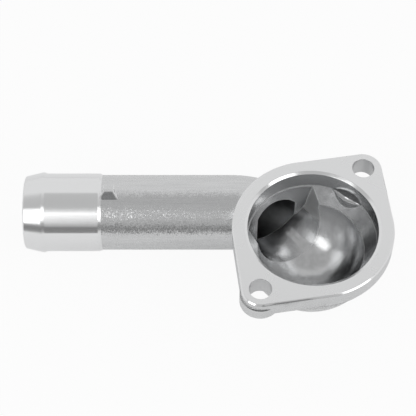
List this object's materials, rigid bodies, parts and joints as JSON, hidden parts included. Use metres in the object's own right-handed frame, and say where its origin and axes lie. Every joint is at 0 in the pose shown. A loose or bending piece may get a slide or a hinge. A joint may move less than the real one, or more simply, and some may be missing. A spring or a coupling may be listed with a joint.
{
  "type": "engine coolant outlet housing",
  "caption": "Cast water outlet elbow with a bolted flange, a machined valve seat in a round chamber and a long beaded hose spigot to one side.",
  "frame": {"origin": "centre of the bolt circle, on the mating face of the flange, which is also the axis of the valve seat", "axes": "+Z out of the mating face, towards the engine; the hose tube runs along -X, below the flange and beside its axis on the +Y side"},
  "size_m": [0.1496, 0.0764, 0.0413],
  "materials": {
    "cast_alloy": "blasted casting, machined on the mating face, the valve seat and the hose spigot"
  },
  "bodies": {
    "root": {"housing": "cast_alloy"}
  },
  "joints": []
}
